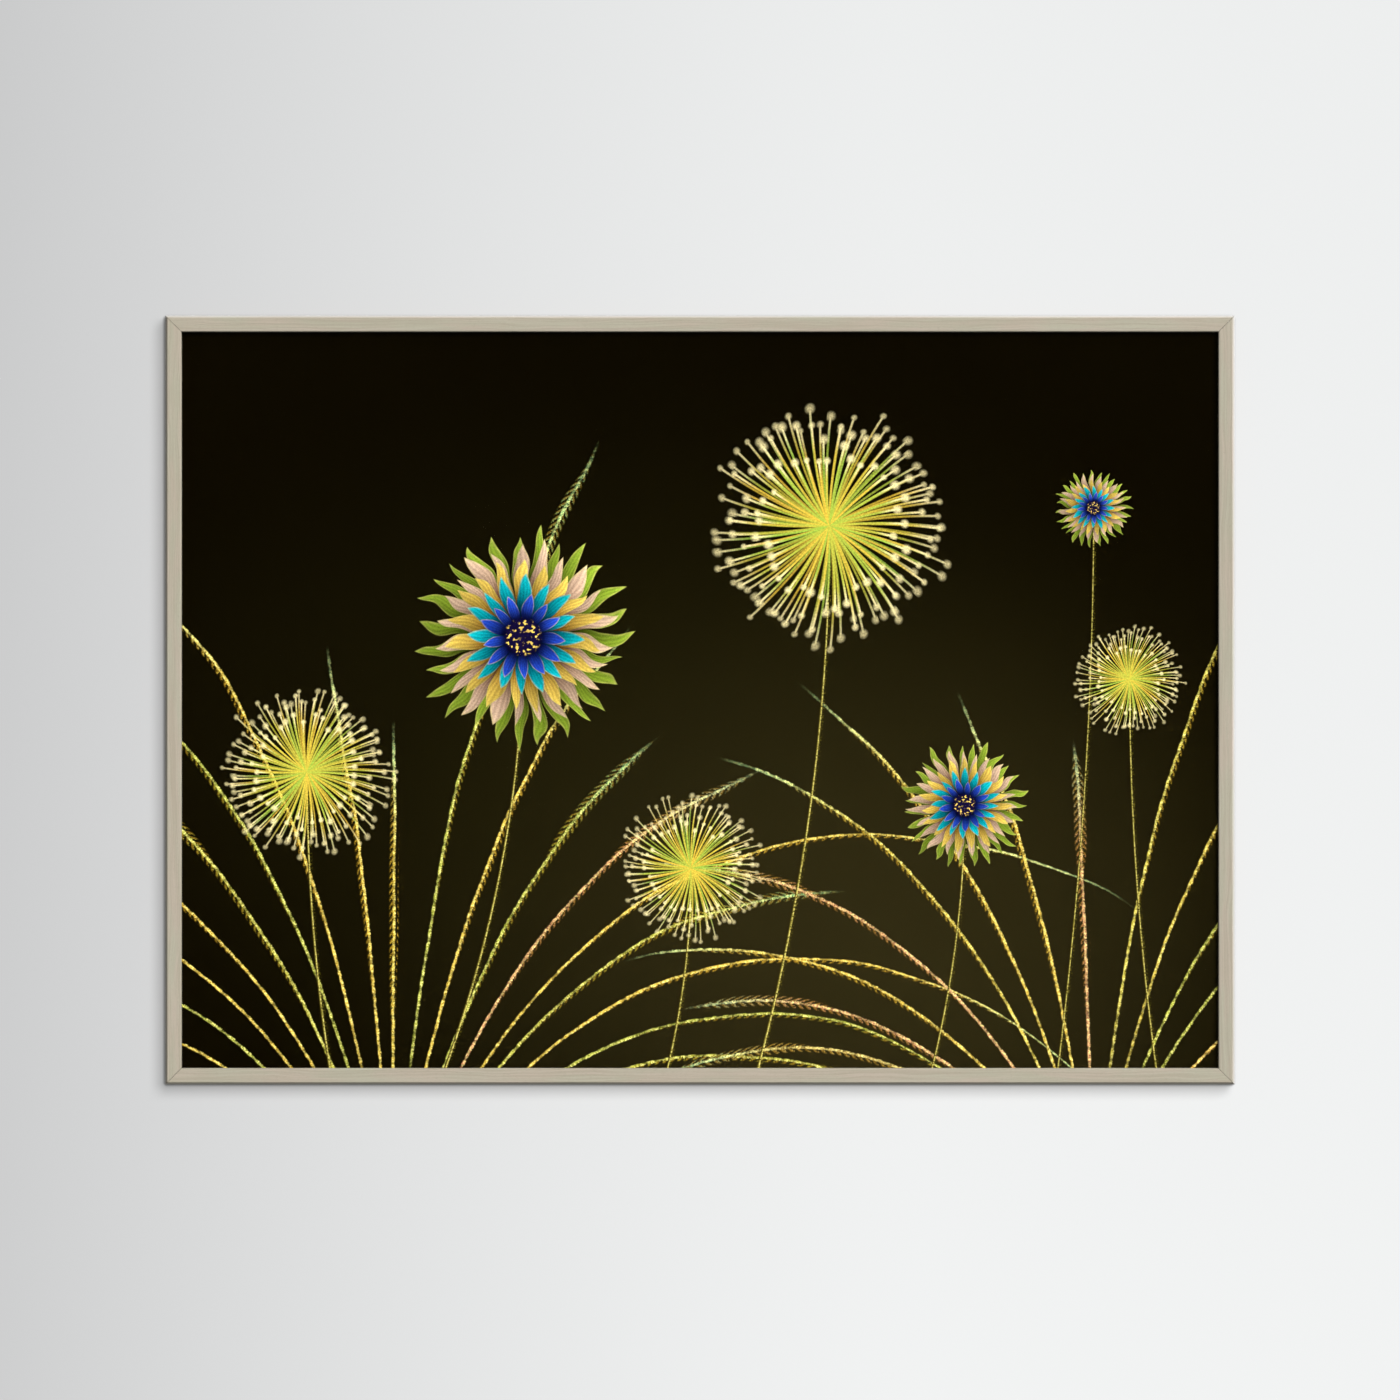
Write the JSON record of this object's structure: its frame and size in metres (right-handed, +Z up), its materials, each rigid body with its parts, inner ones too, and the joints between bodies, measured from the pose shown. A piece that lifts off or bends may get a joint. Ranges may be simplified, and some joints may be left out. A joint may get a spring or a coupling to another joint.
{
  "type": "framed picture",
  "caption": "Landscape print behind glass in a slim mitred oak frame, with a hardboard back, steel tabs and sawtooth hangers for hanging either way up.",
  "frame": {"origin": "middle notch of the upper sawtooth hanger on the back, where the wall's nail bears, at half the strip's thickness", "axes": "+X to the viewer's right, +Y towards the wall, +Z up"},
  "size_m": [0.712, 0.02, 0.512],
  "materials": {
    "greyed_oak": "matt, lightly oiled, fine straight grain",
    "clear_glass": "clear, smooth",
    "dark_print": "satin photographic paper, printed near-black",
    "brown_hardboard": "smooth pressed hardboard",
    "zinc_plated_steel": "zinc plated, slightly worn"
  },
  "bodies": {
    "root": {"rail_top": "greyed_oak", "rail_bottom": "greyed_oak", "rail_left": "greyed_oak", "rail_right": "greyed_oak", "glazing": "clear_glass", "print_sheet": "dark_print", "backing_board": "brown_hardboard", "hanger_landscape": "zinc_plated_steel", "hanger_portrait": "zinc_plated_steel", "rivet_landscape_a": "zinc_plated_steel", "rivet_landscape_b": "zinc_plated_steel", "rivet_portrait_a": "zinc_plated_steel", "rivet_portrait_b": "zinc_plated_steel", "tab_top_1": "zinc_plated_steel", "tab_top_2": "zinc_plated_steel", "tab_top_3": "zinc_plated_steel", "tab_top_4": "zinc_plated_steel", "tab_bottom_1": "zinc_plated_steel", "tab_bottom_2": "zinc_plated_steel", "tab_bottom_3": "zinc_plated_steel", "tab_bottom_4": "zinc_plated_steel", "tab_left_1": "zinc_plated_steel", "tab_left_2": "zinc_plated_steel", "tab_left_3": "zinc_plated_steel", "tab_right_1": "zinc_plated_steel", "tab_right_2": "zinc_plated_steel", "tab_right_3": "zinc_plated_steel"}
  },
  "joints": []
}
